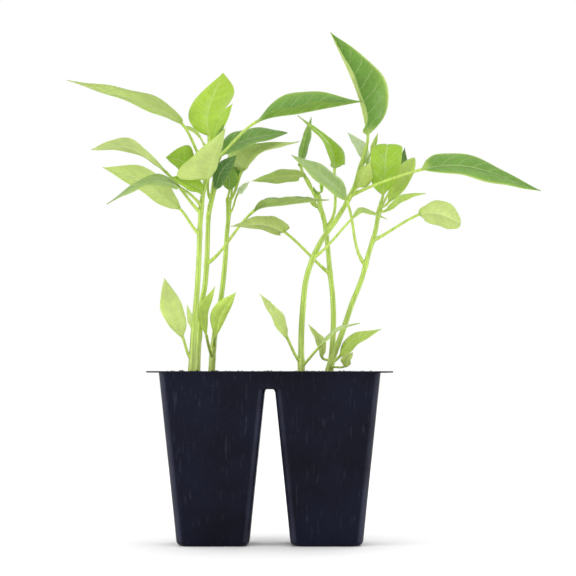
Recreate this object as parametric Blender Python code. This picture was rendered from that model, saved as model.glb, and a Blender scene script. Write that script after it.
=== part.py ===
"""Pepper seedlings in a nursery pack: two tapered plastic cells of potting soil, three young plants in each.

Every stem, every leaf with its petiole, both root balls and the pack are separate solids. Metres, +Z up.
X runs along the pack and the front of the pack faces -Y.
"""
import math
from collections import namedtuple

import bmesh
import bpy
from mathutils import Vector

MM = 0.001

# Driving dimensions of the pack
PACK_HEIGHT = 0.0970          # from the feet of the cells to the top of the rim
CELL_MOUTH = 0.0595           # outer width of a cell at the rim, along X and along Y
CELL_FOOT = 0.0400            # outer width of a cell at its foot
CELL_SPACING = 0.0037         # air between the two cells at the rim
WALL = 0.0008                 # thickness of the formed sheet
CORNER_RADIUS = 0.0060        # upright corners of a cell
FOOT_RADIUS = 0.0030          # rounding round the foot
SADDLE_DEPTH = 0.0100         # from the rim down to the web that joins the cells
SHOULDER_STEP = 0.0001        # how far the joined top stands out past the cells below it
RIM_WIDTH = 0.0065            # flat rim round the pack
DRAIN_RADIUS = 0.0050         # drain hole in the foot of each cell

# Driving dimensions of the fits
SOIL_DROP = 0.0005            # soil surface below the top of the rim
SOIL_CLEARANCE = 0.0003       # root ball to plastic, and root ball to root ball
SOCKET_DEPTH = 0.0120         # how deep a stem goes into the soil
STEM_CLEARANCE = 0.0003       # stem to soil
PETIOLE_CLEARANCE = 0.0003    # petiole to stem

# Driving dimensions of the plants
STEM_RADIUS = 0.0017          # at the soil
STEM_TOP_RADIUS = 0.0011
PETIOLE_RADIUS = 0.0008
BLADE_THICKNESS = 0.0005      # at the midrib
CUPPING = 0.07                # rise of the middle of a leaf half, as a share of its width
TIP_WIDTH = 0.03              # width left at the very tip, as a share of the widest place

CORNER_STEPS = 4
TUBE_SIDES = 8
DRAIN_SIDES = 24
SOCKET_SIDES = 16

CELL_PITCH = CELL_MOUTH + CELL_SPACING
SOIL_TOP = PACK_HEIGHT - SOIL_DROP
WEB_UNDERSIDE = PACK_HEIGHT - SADDLE_DEPTH

# A seedling roots at an X and Y in mm from its cell's centre. Its stem bends through points in mm from the
# root. Leaves follow.
Seedling = namedtuple("Seedling", "cell root bends leaves")

# A leaf leaves the stem at a height in mm (None: it carries on from the top of the stem). Neck, belly and tip
# are where its blade starts, bends and ends, in mm from where it leaves the stem. Left and right are the
# reaches of the two halves at their widest places, seen from above with the tip ahead, and widest is how far
# along the blade those places are.
Leaf = namedtuple("Leaf", "name height neck belly tip left right widest tone")

LEFT_CELL = -1
RIGHT_CELL = 1

BENDS_A = (
    (1, 0, 20), (3, 1, 45), (4, 2, 65), (4.5, 3, 82), (5.5, 5, 96), (7.5, 7, 109), (9, 9, 125),
)
LEAVES_A = (
    Leaf("long", 115, (-14, -7, 24), (-36, -13, 35.5), (-76.5, -24, 46),
         (0, -12, 4), (0, 12, -3), (0.22, 0.22), "pale"),
    Leaf("upper", 89, (-19, -8, 22), (-39, -16, 35), (-59, -30, 32.5),
         (0, -9, 4), (0, 9, -2), (0.48, 0.48), "pale"),
    Leaf("wide", 77, (-11, -1, 14), (-32, -2, 30), (-54, -5, 37),
         (2, -7, 7), (-2, 8, -6), (0.4, 0.4), "pale"),
    Leaf("droop", 93, (-13, -13, 10), (-28, -21, 12), (-51, -26, -1),
         (0, -10, -4), (0, 8, 4), (0.3, 0.3), "mature"),
    Leaf("folded", 104, (2, -7.5, 3.5), (6.5, -14.5, 17), (12.5, -19.5, 31),
         (-18, -6, -0.5), (2, 8, -2), (0.1, 0.4), "pale"),
    Leaf("crown", None, (0, 1, 8), (0, -1, 23), (8, 3, 44),
         (-11, -3, -1), (11, 3, -1), (0.36, 0.62), "young"),
    Leaf("arrow", 116, (27.5, 4, 25), (53.5, -4, 29.5), (87.5, -16, 34.5),
         (0, 6, 12.5), (0, -11, 3), (0.4, 0.4), "mature"),
    Leaf("sliver", 119, (-2, 1, 9), (-7, 0, 16), (-14, -2, 19),
         (-1, -4, 2), (1, 4, -2), (0.4, 0.4), "young"),
    Leaf("round", 101, (-3.5, -2, 6.5), (-10.5, -2, 16), (-21, -4, 19),
         (-3, -3, -4.5), (3, 4, 9.5), (0.42, 0.55), "young"),
    Leaf("tucked", 96.5, (0.5, -6, 3.5), (-6, -10, 7.5), (-16, -16, 11.5),
         (-2, -5, -3), (2, 6, 6), (0.4, 0.4), "mature"),
    Leaf("low", 7, (-5, -3, 12), (-11, -7, 28), (-15, -10, 45),
         (-6, -3, -1), (6, 3, 1), (0.45, 0.45), "pale"),
)
BENDS_B = (
    (1, 2, 18), (2.5, 3, 38), (4.5, 3, 50), (5.5, 3, 66), (6, 3, 82), (6.5, 4, 91), (8.5, 6, 100),
)
LEAVES_B = (
    Leaf("dark", 94, (6, 5, 29), (21, 12, 39), (44, 22, 44), (-2, 8, 7), (1, -8, -5), (0.3, 0.3), "mature"),
    Leaf("right", 61, (27, -4, 30), (44, -9, 33), (69, -18, 35),
         (0, 9, 5), (-1, -10, 3), (0.3, 0.3), "pale"),
    Leaf("back", None, (-0.5, 5, 30), (2.5, 8, 41.5), (11, 13, 54),
         (-4, 3, 2), (4, -2, -2), (0.4, 0.4), "mature"),
    Leaf("bud", 97, (2, 2, 30), (4, 0, 36), (7, 2, 44), (-2, 2, 0), (2, 2, 0), (0.4, 0.4), "young"),
    Leaf("hanging", 88, (4, -4.5, 14.5), (7.5, -5.5, 25), (16, -4.5, 34.5),
         (-4, 3, 3), (4, -1, -3), (0.45, 0.45), "mature"),
    Leaf("low", 21, (-3, 2, 2), (-5, 2, 9), (-7, 3, 17), (-2, 1, 0), (2, -1, 0), (0.4, 0.4), "mature"),
)
BENDS_C = (
    (1, 0, 15.5), (3, 0, 29.5), (5.5, 0, 44), (7.5, 0, 62.5), (8.5, -1, 78), (9.5, -2, 90),
    (9, -2, 98.5),
)
LEAVES_C = (
    Leaf("under", 97, (8, 4, 18), (15, 6, 29.5), (41, 15, 36),
         (3, -8, -2), (-11, 8, 5), (0.35, 0.12), "pale"),
    Leaf("round", 92, (2, 8, 15), (3, 10, 24), (5, 14, 32),
         (-4, 3, -1), (4, -2, -1), (0.45, 0.45), "mature"),
    Leaf("small", 90, (5, -2, 11), (8, -4, 14), (12, -6, 18),
         (-1, 4, 2), (1, -4, -2), (0.4, 0.4), "mature"),
    Leaf("crown", None, (1, 0, 5), (1, -3, 13.5), (-1, -4, 20.5),
         (-5, 2, 0), (5, 1, 0), (0.42, 0.42), "mature"),
    Leaf("low_left", 8, (-3, -11, 12), (-5, -17, 26), (2, -19, 40),
         (-3, -3, 0), (3, 3, -1), (0.5, 0.5), "young"),
    Leaf("low_right", 14, (1, -6, 5), (4, -8, 18), (13, -9, 31),
         (-5, -2, 2.5), (3, 2, -2), (0.5, 0.5), "young"),
)
BENDS_D = (
    (0, 0, 20.5), (1, 0, 37.5), (2.5, 1, 51), (6, 2, 62.5), (11.5, 4, 74), (19, 6, 84.5), (25, 8, 94.5),
    (30, 10, 104.5), (33.5, 10.5, 116), (36.5, 11, 126),
)
LEAVES_D = (
    Leaf("top", None, (1, 0, 8), (-5, -3, 32), (-20, -1, 66),
         (0.5, -12, 0), (16.5, 6, 5.5), (0.33, 0.38), "mature"),
    Leaf("long", 99, (40, -11, 14), (66, -20, 14.5), (103.5, -36, 0),
         (0, 8, 8), (-1, -10, -7), (0.22, 0.45), "mature"),
    Leaf("side", 64, (22, -3, 22), (27, -5, 26), (41, -8, 21), (-1, 5, 2), (1, -4, -2), (0.4, 0.4), "pale"),
    Leaf("axil", 97, (5, -3.5, 6.5), (8, -5.5, 13), (12.5, -6.5, 20.5),
         (-3, 2, 2), (5, 3, -3), (0.45, 0.45), "mature"),
    Leaf("back", 112, (5, 5, 6), (2, 7, 14), (-6, 8, 24), (-2, -4, -3), (3, 5, 3), (0.4, 0.4), "mature"),
    Leaf("bud", 116, (6, 4.5, 7.5), (8, 5.5, 13.5), (10, 6.5, 19.5),
         (-1.5, 2, 0), (1.5, 1, 0), (0.4, 0.4), "young"),
    Leaf("low_left", 5, (-8, -6, 14), (-14, -10, 26), (-23, -13, 38),
         (-2, -7, -3), (3, 7, 2), (0.4, 0.4), "young"),
    Leaf("low_edge", 3, (10, -8, 11), (20, -12, 20), (32, -16, 24),
         (0, 9, 1), (0, -9, -1), (0.4, 0.4), "mature"),
)
BENDS_E = (
    (1.5, 0, 15.5), (2, 0, 29.5), (1.5, 0, 43.5), (0, 0, 57), (-1.5, 0, 73.5), (-3, -1, 85),
    (-5.5, -2, 94.5), (-7, -3, 101.5),
)
LEAVES_E = (
    Leaf("left", 56, (-26, -14, 23), (-40, -22, 27), (-56, -33, 25),
         (0, -8, 5), (1, 8, -4), (0.2, 0.2), "pale"),
    Leaf("upper", 98, (-8, -4, 13), (-22, -11, 13), (-38, -22, 9),
         (0, -8, 2.5), (0, 8, -4), (0.35, 0.35), "mature"),
    Leaf("arch", 82, (5, -5, 34), (2, -6, 48), (-16, -7, 64),
         (-3, -8, -2), (7, 8, -2), (0.25, 0.25), "young"),
    Leaf("strip", 99, (-10, 5, 18), (-8.5, 7, 31), (-4, 12, 48),
         (-2, 7, 0), (3, 7, 0), (0.45, 0.45), "mature"),
    Leaf("bud", 100, (0, -4, 1), (-2, -7, 3), (-3, -8, 5), (-1, 1, 0), (1, 1, 0), (0.4, 0.4), "young"),
    Leaf("crown", None, (2, -4, 1), (2, -6, 5), (1, -7, 10), (-1, 2, 0), (1, 2, 0), (0.4, 0.4), "young"),
    Leaf("young", 89, (-3, 1, 5), (-6, 0, 8), (-10, -1, 11), (0, -3, 2), (0, 3, -2), (0.4, 0.4), "young"),
    Leaf("low", 6, (-5, -3, 2), (-6, -6, 10), (-13, -8, 21), (-2, -3, -1), (3, 3, 1), (0.4, 0.4), "mature"),
)
BENDS_F = (
    (3.5, 0, 10), (8.5, 0, 23.5), (13.5, 0, 38.5), (19, 0, 52.5), (23, 0, 67), (26.5, 0, 78.5),
    (28.5, 1, 89), (30, 2, 95.5),
)
LEAVES_F = (
    Leaf("left", 60, (-11, -10, 36), (-25, -17, 50), (-42, -26, 60),
         (-3, -9, -5), (4, 9, 4), (0.4, 0.4), "mature"),
    Leaf("block", None, (1, -3, 4.5), (3, -8, 31), (6, 12, 31.5),
         (-9, -2, -1.5), (9, 1, -1.5), (0.42, 0.5), "young"),
    Leaf("back", 92, (5.5, 9.5, 4.5), (13.5, 13.5, 17.5), (21, 18.5, 31),
         (-5, 3, 3), (3.5, -3, -2.5), (0.55, 0.55), "pale"),
    Leaf("dark", 90, (9, 25, 17), (14, 29, 27), (16.5, 32, 40),
         (-3, 3, 1), (3.5, -3, -1), (0.42, 0.42), "mature"),
    Leaf("bright", 90, (4, -2, 1), (14, -5, 8), (26, -12, 10),
         (-1, 6, 2), (1, -6, -2), (0.35, 0.35), "young"),
    Leaf("spoon", 74, (26, -4, 14.5), (37, -9, 14.5), (48.5, -16, 9),
         (1, 6, -7), (1, -6, 7), (0.5, 0.5), "pale"),
    Leaf("low_right", 5, (5, -1, 4), (13, -4, 13), (28, -7, 19),
         (-2, 5, 3), (2, -5, -3), (0.35, 0.35), "pale"),
    Leaf("low_wavy", 2, (8, -9, 1), (10, -13, 6), (13, -15, 9),
         (-3, 3, 1), (2, -3, -2), (0.45, 0.45), "young"),
)

SEEDLINGS = {
    "a": Seedling(LEFT_CELL, (-12.0, -13.9), BENDS_A, LEAVES_A),
    "b": Seedling(LEFT_CELL, (-9.6, 0.0), BENDS_B, LEAVES_B),
    "c": Seedling(LEFT_CELL, (-1.7, 13.9), BENDS_C, LEAVES_C),
    "d": Seedling(RIGHT_CELL, (-14.0, -12.1), BENDS_D, LEAVES_D),
    "e": Seedling(RIGHT_CELL, (2.5, 15.9), BENDS_E, LEAVES_E),
    "f": Seedling(RIGHT_CELL, (1.1, 0.0), BENDS_F, LEAVES_F),
}

# Colour (linear RGB) and roughness of each material
FINISHES = {
    "black_plastic": ((0.012, 0.013, 0.024), 0.42),
    "potting_soil": ((0.075, 0.055, 0.045), 0.95),
    "stem_green": ((0.42, 0.60, 0.17), 0.50),
    "leaf_mature": ((0.14, 0.33, 0.055), 0.42),
    "leaf_young": ((0.36, 0.62, 0.09), 0.45),
    "leaf_pale": ((0.50, 0.66, 0.19), 0.50),
}


def clear_scene():
    for obj in list(bpy.data.objects):
        bpy.data.objects.remove(obj, do_unlink=True)


def make_material(name):
    colour, roughness = FINISHES[name]
    material = bpy.data.materials.new(name)
    material.use_nodes = True
    shader = material.node_tree.nodes["Principled BSDF"]
    shader.inputs["Base Color"].default_value = (*colour, 1.0)
    shader.inputs["Roughness"].default_value = roughness
    shader.inputs["Metallic"].default_value = 0.0
    return material


def loft(name, rings, material=None):
    """A closed solid of flat triangles through rings of equally many points, capped at both ends."""
    bm = bmesh.new()
    rows = [[bm.verts.new(point) for point in ring] for ring in rings]
    for low, high in zip(rows, rows[1:]):
        for i in range(len(low)):
            j = (i + 1) % len(low)
            bm.faces.new((low[i], low[j], high[j], high[i]))
    bm.faces.new(rows[0])
    bm.faces.new(rows[-1])
    bmesh.ops.recalc_face_normals(bm, faces=bm.faces)
    if bm.calc_volume(signed=True) < 0:
        bmesh.ops.reverse_faces(bm, faces=bm.faces)
    bmesh.ops.triangulate(bm, faces=bm.faces)
    mesh = bpy.data.meshes.new(name)
    bm.to_mesh(mesh)
    bm.free()
    mesh.shade_smooth()
    mesh.set_sharp_from_angle(angle=math.radians(40))
    if material:
        mesh.materials.append(material)
    obj = bpy.data.objects.new(name, mesh)
    bpy.context.scene.collection.objects.link(obj)
    return obj


def as_tool(obj):
    """Hides a shape that only adds to or cuts another one."""
    obj.hide_render = True
    obj.display_type = 'WIRE'
    return obj


def combine(obj, operation, tool):
    modifier = obj.modifiers.new(tool.name, 'BOOLEAN')
    modifier.operation = operation
    modifier.solver = 'EXACT'
    modifier.object = as_tool(tool)


# The pack

def rounded_rectangle(half_x, half_y, radius, centre_x, z):
    """Ring of points round a rectangle with round corners."""
    points = []
    for corner, (side_x, side_y) in enumerate(((1, 1), (-1, 1), (-1, -1), (1, -1))):
        for step in range(CORNER_STEPS + 1):
            angle = math.radians(90 * (corner + step / CORNER_STEPS))
            x = side_x * (half_x - radius) + radius * math.cos(angle)
            y = side_y * (half_y - radius) + radius * math.sin(angle)
            points.append(Vector((centre_x + x, y, z)))
    return points


def cell_half(z):
    """Half the outer width of a cell at a height: its walls taper evenly from rim to foot."""
    return (CELL_FOOT + (CELL_MOUTH - CELL_FOOT) * z / PACK_HEIGHT) / 2


def cell_solid(name, side, inset, top, material=None):
    """One cell's shape, drawn in from its outer skin by inset, from its foot up to top."""
    centre_x = side * CELL_PITCH / 2
    foot_radius = FOOT_RADIUS - inset
    corner = CORNER_RADIUS - inset
    rings = []
    for step in range(CORNER_STEPS + 1):
        angle = math.radians(90 * step / CORNER_STEPS)
        z = inset + foot_radius * (1 - math.cos(angle))
        half = cell_half(z) - inset - foot_radius * (1 - math.sin(angle))
        rings.append(rounded_rectangle(half, half, corner, centre_x, z))
    half = cell_half(top) - inset
    rings.append(rounded_rectangle(half, half, corner, centre_x, top))
    return loft(name, rings, material)


def shoulder_solid(name, inset, bottom, top, crown=0.0):
    """The joined top of the two cells, drawn in by inset, with an optional crown on its upper face."""
    rings = []
    for z in (bottom, top):
        half = cell_half(z) + SHOULDER_STEP - inset
        rings.append(rounded_rectangle(CELL_PITCH / 2 + half, half, CORNER_RADIUS - inset, 0, z))
    if crown:
        half = cell_half(top) * 0.7
        rings.append(rounded_rectangle(CELL_PITCH / 2 + half, half, CORNER_RADIUS, 0, top + crown))
    return loft(name, rings)


def rim_solid():
    half_x = (CELL_PITCH + CELL_MOUTH) / 2 + RIM_WIDTH
    half_y = CELL_MOUTH / 2 + RIM_WIDTH
    levels = (PACK_HEIGHT - WALL, PACK_HEIGHT)
    return loft("rim_shape", [rounded_rectangle(half_x, half_y, CORNER_RADIUS, 0, z) for z in levels])


def upright_cylinder(name, x, y, radius, bottom, top, sides):
    ring = [Vector((radius * math.cos(math.tau * i / sides), radius * math.sin(math.tau * i / sides), 0))
            for i in range(sides)]
    rings = [[point + Vector((x, y, z)) for point in ring] for z in (bottom, top)]
    return loft(name, rings)


def make_pack(material):
    """The formed sheet: the outer shapes joined, then hollowed and drained."""
    beyond = 2 * WALL
    pack = cell_solid("cell_pack", LEFT_CELL, 0, PACK_HEIGHT - WALL / 2, material)
    combine(pack, 'UNION', cell_solid("right_cell_shape", RIGHT_CELL, 0, PACK_HEIGHT - WALL / 2))
    combine(pack, 'UNION', shoulder_solid("shoulder_shape", 0, WEB_UNDERSIDE, PACK_HEIGHT - WALL / 2))
    combine(pack, 'UNION', rim_solid())
    hollow = shoulder_solid("shoulder_hollow", WALL, WEB_UNDERSIDE + WALL, PACK_HEIGHT + beyond)
    combine(pack, 'DIFFERENCE', hollow)
    for side, word in ((LEFT_CELL, "left"), (RIGHT_CELL, "right")):
        combine(pack, 'DIFFERENCE', cell_solid(word + "_hollow", side, WALL, PACK_HEIGHT + beyond))
        centre_x = side * CELL_PITCH / 2
        drain = upright_cylinder(word + "_drain", centre_x, 0, DRAIN_RADIUS, -beyond, 2 * beyond, DRAIN_SIDES)
        combine(pack, 'DIFFERENCE', drain)
    return pack


# The soil

def make_root_ball(side, material):
    """Soil that fills one cell and its half of the shoulder, with a socket for each stem."""
    word = "left" if side == LEFT_CELL else "right"
    inset = WALL + SOIL_CLEARANCE
    bottom = WEB_UNDERSIDE + inset
    ball = cell_solid("root_ball_" + word, side, inset, bottom + SADDLE_DEPTH / 3, material)
    combine(ball, 'UNION', shoulder_solid(word + "_soil_top", inset, bottom, SOIL_TOP - SOIL_DROP, SOIL_DROP))
    far = CELL_PITCH + CELL_MOUTH
    near_edge = SOIL_CLEARANCE / 2
    low, high = sorted((-side * far, side * near_edge))
    corners = ((low, -far), (high, -far), (high, far), (low, far))
    other_half = [[Vector((x, y, z)) for x, y in corners] for z in (-far, PACK_HEIGHT + far)]
    combine(ball, 'DIFFERENCE', loft(word + "_other_half", other_half))
    for key, seedling in SEEDLINGS.items():
        if seedling.cell == side:
            root = root_of(seedling)
            radius = STEM_RADIUS + STEM_CLEARANCE
            depth = SOCKET_DEPTH + STEM_CLEARANCE
            low, high = root.z - depth, root.z + depth
            socket = upright_cylinder("socket_" + key, root.x, root.y, radius, low, high, SOCKET_SIDES)
            combine(ball, 'DIFFERENCE', socket)
    return ball


# The plants

def root_of(seedling):
    """Where a stem comes out of the soil."""
    x, y = seedling.root
    return Vector((seedling.cell * CELL_PITCH / 2 + x * MM, y * MM, SOIL_TOP))


def smooth_path(points, steps, first_way=None):
    """Points along one smooth curve through the given ones. steps is how many fall in each span."""
    chords = [(b - a).length for a, b in zip(points, points[1:])]
    ways = [first_way or (points[1] - points[0]) / chords[0]]
    for i in range(1, len(points) - 1):
        ways.append((points[i + 1] - points[i - 1]) / (chords[i] + chords[i - 1]))
    ways.append((points[-1] - points[-2]) / chords[-1])
    path = [points[0]]
    for i, count in enumerate(steps):
        for step in range(1, count + 1):
            t = step / count
            start = points[i] * (2 * t**3 - 3 * t**2 + 1)
            end = points[i + 1] * (3 * t**2 - 2 * t**3)
            bend_out = ways[i] * chords[i] * (t**3 - 2 * t**2 + t)
            bend_in = ways[i + 1] * chords[i] * (t**3 - t**2)
            path.append(start + end + bend_out + bend_in)
    return path


def tangents_of(path):
    tangents = [(path[1] - path[0]).normalized()]
    for before, after in zip(path, path[2:]):
        tangents.append((after - before).normalized())
    tangents.append((path[-1] - path[-2]).normalized())
    return tangents


def carried_sides(tangents, start, side):
    """The side direction at every point of a path, carried from its value at start without twisting."""
    sides = {start: (side - tangents[start] * side.dot(tangents[start])).normalized()}
    for i in range(start + 1, len(tangents)):
        sides[i] = tangents[i - 1].rotation_difference(tangents[i]) @ sides[i - 1]
    for i in range(start - 1, -1, -1):
        sides[i] = tangents[i + 1].rotation_difference(tangents[i]) @ sides[i + 1]
    return [sides[i] for i in range(len(tangents))]


def round_ring(centre, tangent, side, radius):
    """Ring round a tube. It starts on the left, and turns over the top to the right."""
    up = side.cross(tangent)
    ring = []
    for i in range(TUBE_SIDES):
        angle = math.tau * i / TUBE_SIDES
        ring.append(centre + (up * math.sin(angle) - side * math.cos(angle)) * radius)
    return ring


def stem_path(seedling):
    """Middle line of a stem above the soil."""
    root = root_of(seedling)
    points = [root] + [root + Vector(bend) * MM for bend in seedling.bends]
    return smooth_path(points, [2] * (len(points) - 1))


def stem_radius(share):
    return STEM_RADIUS + (STEM_TOP_RADIUS - STEM_RADIUS) * share


def make_stem(key, seedling, material):
    path = stem_path(seedling)
    path = [path[0] - Vector((0, 0, SOCKET_DEPTH))] + path
    tangents = tangents_of(path)
    tangents[1] = tangents[0]
    sides = carried_sides(tangents, 0, Vector((1, 0, 0)))
    rings = []
    for i, centre in enumerate(path):
        radius = stem_radius(max(0, i - 1) / (len(path) - 2))
        rings.append(round_ring(centre, tangents[i], sides[i], radius))
    return loft("stem_" + key, rings, material)


def point_on_stem(seedling, height):
    """The stem's middle, direction and radius at a height above the soil."""
    path = stem_path(seedling)
    level = SOIL_TOP + height * MM
    for i, (low, high) in enumerate(zip(path, path[1:])):
        if low.z <= level <= high.z:
            share = (level - low.z) / (high.z - low.z)
            radius = stem_radius((i + share) / (len(path) - 1))
            return low.lerp(high, share), (high - low).normalized(), radius
    raise ValueError(f"no stem at {height} mm")


def leaf_start(seedling, leaf, offset):
    """Where a petiole begins, clear of the stem, and the way it sets off."""
    if leaf.height is None:
        path = stem_path(seedling)
        way = (path[-1] - path[-2]).normalized()
        return path[-1], path[-1] + way * PETIOLE_CLEARANCE, way
    middle, along, radius = point_on_stem(seedling, leaf.height)
    outward = (offset - along * offset.dot(along)).normalized()
    return middle, middle + outward * (radius + PETIOLE_CLEARANCE), outward


def half_width(share, widest):
    """Share of a half's full reach at a share of a blade's length: egg-shaped, with a drawn-out tip."""
    if share == 1:
        return TIP_WIDTH
    fall = 1.15
    rise = fall * widest / (1 - widest)
    return max((share / widest)**rise * ((1 - share) / (1 - widest))**fall, TIP_WIDTH)


def blade_ring(centre, tangent, left, right):
    """Section of a blade: two thin halves that meet at the midrib, each bowed a little upwards."""
    left_up = tangent.cross(left).normalized()
    right_up = right.cross(tangent).normalized()
    rib_up = (left_up + right_up).normalized()
    left_bow = left_up * left.length * CUPPING
    right_bow = right_up * right.length * CUPPING
    half = BLADE_THICKNESS / 2
    left_middle = centre + left * 0.55 + left_bow
    right_middle = centre + right * 0.55 + right_bow
    return [
        centre + left,
        left_middle + left_up * half,
        centre + rib_up * half,
        right_middle + right_up * half,
        centre + right,
        right_middle - right_up * half,
        centre - rib_up * half * 1.6,
        left_middle - left_up * half,
    ]


def make_leaf(key, seedling, leaf, material):
    """One leaf: a round petiole that flattens into a blade."""
    neck, belly, tip = (Vector(point) * MM for point in (leaf.neck, leaf.belly, leaf.tip))
    left = Vector(leaf.left) * MM
    right = Vector(leaf.right) * MM
    middle, start, way = leaf_start(seedling, leaf, neck)
    petiole_steps = 3 if neck.length > 12 * MM else 2
    set_off = (way + Vector((0, 0, 0.7))).normalized() if leaf.height is not None else way
    path = smooth_path([start, middle + neck, middle + belly, middle + tip], (petiole_steps, 3, 3), set_off)
    tangents = tangents_of(path)
    tangents[0] = way
    sides = carried_sides(tangents, petiole_steps, right - left)
    blade = path[petiole_steps:]
    lengths = [0.0]
    for a, b in zip(blade, blade[1:]):
        lengths.append(lengths[-1] + (b - a).length)
    rings = []
    for i, centre in enumerate(path):
        if i <= petiole_steps:
            rings.append(round_ring(centre, tangents[i], sides[i], PETIOLE_RADIUS * (1 - 0.1 * i)))
        else:
            share = lengths[i - petiole_steps] / lengths[-1]
            left_width, right_width = (half_width(share, place) for place in leaf.widest)
            rings.append(blade_ring(centre, tangents[i], left * left_width, right * right_width))
    return loft(f"leaf_{key}_{leaf.name}", rings, material)


def centre_on_origin(objects):
    """Parents everything to one empty, which puts the whole part's base centre on the origin."""
    bpy.context.view_layer.update()
    depsgraph = bpy.context.evaluated_depsgraph_get()
    corners = []
    for obj in objects:
        mesh = obj.evaluated_get(depsgraph).to_mesh()
        corners += [vertex.co.copy() for vertex in mesh.vertices]
        obj.evaluated_get(depsgraph).to_mesh_clear()
    middle_x = (min(c.x for c in corners) + max(c.x for c in corners)) / 2
    middle_y = (min(c.y for c in corners) + max(c.y for c in corners)) / 2
    anchor = bpy.data.objects.new("part_origin", None)
    bpy.context.scene.collection.objects.link(anchor)
    anchor.location = (-middle_x, -middle_y, -min(c.z for c in corners))
    for obj in bpy.data.objects:
        if obj is not anchor:
            obj.parent = anchor


def main():
    clear_scene()
    materials = {name: make_material(name) for name in FINISHES}
    pieces = [make_pack(materials["black_plastic"])]
    pieces += [make_root_ball(side, materials["potting_soil"]) for side in (LEFT_CELL, RIGHT_CELL)]
    for key, seedling in SEEDLINGS.items():
        pieces.append(make_stem(key, seedling, materials["stem_green"]))
        pieces += [make_leaf(key, seedling, leaf, materials["leaf_" + leaf.tone]) for leaf in seedling.leaves]
    centre_on_origin(pieces)


main()
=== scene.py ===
"""The looks of the potted pepper seedlings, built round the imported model.

Every leaf, stem and root ball and the pack itself gets a finer piece that stands for its CAD node. The points
of the plants are those of the CAD model, in mm, and their places come from the frame.
"""
import math
import random
from collections import namedtuple

import bmesh
import bpy
from mathutils import Matrix, Vector, noise


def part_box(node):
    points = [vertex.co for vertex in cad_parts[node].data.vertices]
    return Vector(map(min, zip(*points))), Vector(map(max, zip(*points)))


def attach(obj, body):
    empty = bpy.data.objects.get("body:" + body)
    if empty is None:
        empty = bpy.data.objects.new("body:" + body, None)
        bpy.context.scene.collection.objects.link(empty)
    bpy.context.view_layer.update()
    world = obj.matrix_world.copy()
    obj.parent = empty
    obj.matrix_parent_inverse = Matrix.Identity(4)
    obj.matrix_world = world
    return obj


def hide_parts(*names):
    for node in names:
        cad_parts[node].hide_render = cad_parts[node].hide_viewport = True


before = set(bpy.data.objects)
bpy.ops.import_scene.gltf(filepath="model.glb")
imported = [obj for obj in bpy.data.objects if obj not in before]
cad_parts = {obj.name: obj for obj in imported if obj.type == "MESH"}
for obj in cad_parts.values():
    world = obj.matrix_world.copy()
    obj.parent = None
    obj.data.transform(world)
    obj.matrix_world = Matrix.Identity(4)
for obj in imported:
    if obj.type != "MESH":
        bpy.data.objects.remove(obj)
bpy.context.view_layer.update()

MM = 0.001

# The frame: where the pack stands and how high the soil is
PACK_LOW, PACK_HIGH = (Vector(corner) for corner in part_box("cell_pack"))
PACK_MIDDLE = (PACK_LOW + PACK_HIGH) / 2
PACK_HEIGHT = PACK_HIGH.z - PACK_LOW.z
SOIL_TOP = Vector(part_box("root_ball_left")[1]).z

# The pack's sizes, as the CAD model has them
CELL_MOUTH = 59.5 * MM
CELL_FOOT = 40.0 * MM
CELL_PITCH = 63.2 * MM
WALL = 0.8 * MM
CORNER_RADIUS = 6.0 * MM
FOOT_RADIUS = 3.0 * MM
SADDLE_DEPTH = 10.0 * MM
SHOULDER_STEP = 0.02 * MM
RIM_WIDTH = 6.5 * MM
RIM_WAVE = 0.35 * MM
RIM_WAVE_SCALE = 45           # noise cells in a metre
SLOT_FILLET = 1.6 * MM
EDGE_SOFTNESS = 0.25 * MM
DRAIN_RADIUS = 5.0 * MM
WEB_UNDERSIDE = PACK_HEIGHT - SADDLE_DEPTH
CORNER_STEPS = 10

# Soil
GRAIN = 1.3 * MM              # of the remeshed root ball
LUMP_SCALE = 230              # noise cells in a metre
LUMP_HEIGHT = 0.5 * MM
TOP_LAYER = 2.5 * MM          # how deep a facet still counts as the top
JOIN_BULGE = 0.2 * MM         # towards the other root ball, above the web
WALL_GAP = 0.35 * MM          # between the soil and the plastic
WALL_ROUGHNESS = 0.3 * MM
LOOSE_CRUMBS = 170            # anywhere on top of each root ball
JOIN_CRUMBS = 45              # on each, beside the join between the two
JOIN_REACH = 1.8 * MM
CRUMB_LAYER = 1.5 * MM
CRUMB_SIZES = (0.4 * MM, 1.0 * MM)
CRUMB_SINK = 0.15 * MM
WHITE_SHARE = 0.16

# Plants
STEM_RADIUS = 1.7 * MM
STEM_TOP_RADIUS = 1.1 * MM
SOCKET_DEPTH = 12.0 * MM
PETIOLE_RADIUS = 0.78 * MM
BLADE_THICKNESS = 0.34 * MM
STEM_SIDES = 24
COLUMNS = 8                   # points from the midrib to a leaf's margin
SIDE_VEINS = 8                # on each half
VEIN_SWEEP = 1.5              # how far a side vein runs forward, in vein spacings

# Studio
FLOOR_REACH = 6.0             # from the middle to each edge
FLOOR_GAP = 0.05 * MM         # so that the floor and the pack's foot don't share a plane
AIM_HEIGHT = 0.16             # where the softboxes point
LENS = 136.4                  # mm
CAMERA_DISTANCE = 1.2         # from the front of the cells
CAMERA_SHIFT = 10.1 * MM      # to the right of the pack's middle
CAMERA_TILT = 2.18            # degrees up

Seedling = namedtuple("Seedling", "cell root bends leaves")
Leaf = namedtuple("Leaf", "name height neck belly tip left right widest tone upper under")

LEFT_CELL = -1
RIGHT_CELL = 1

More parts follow.
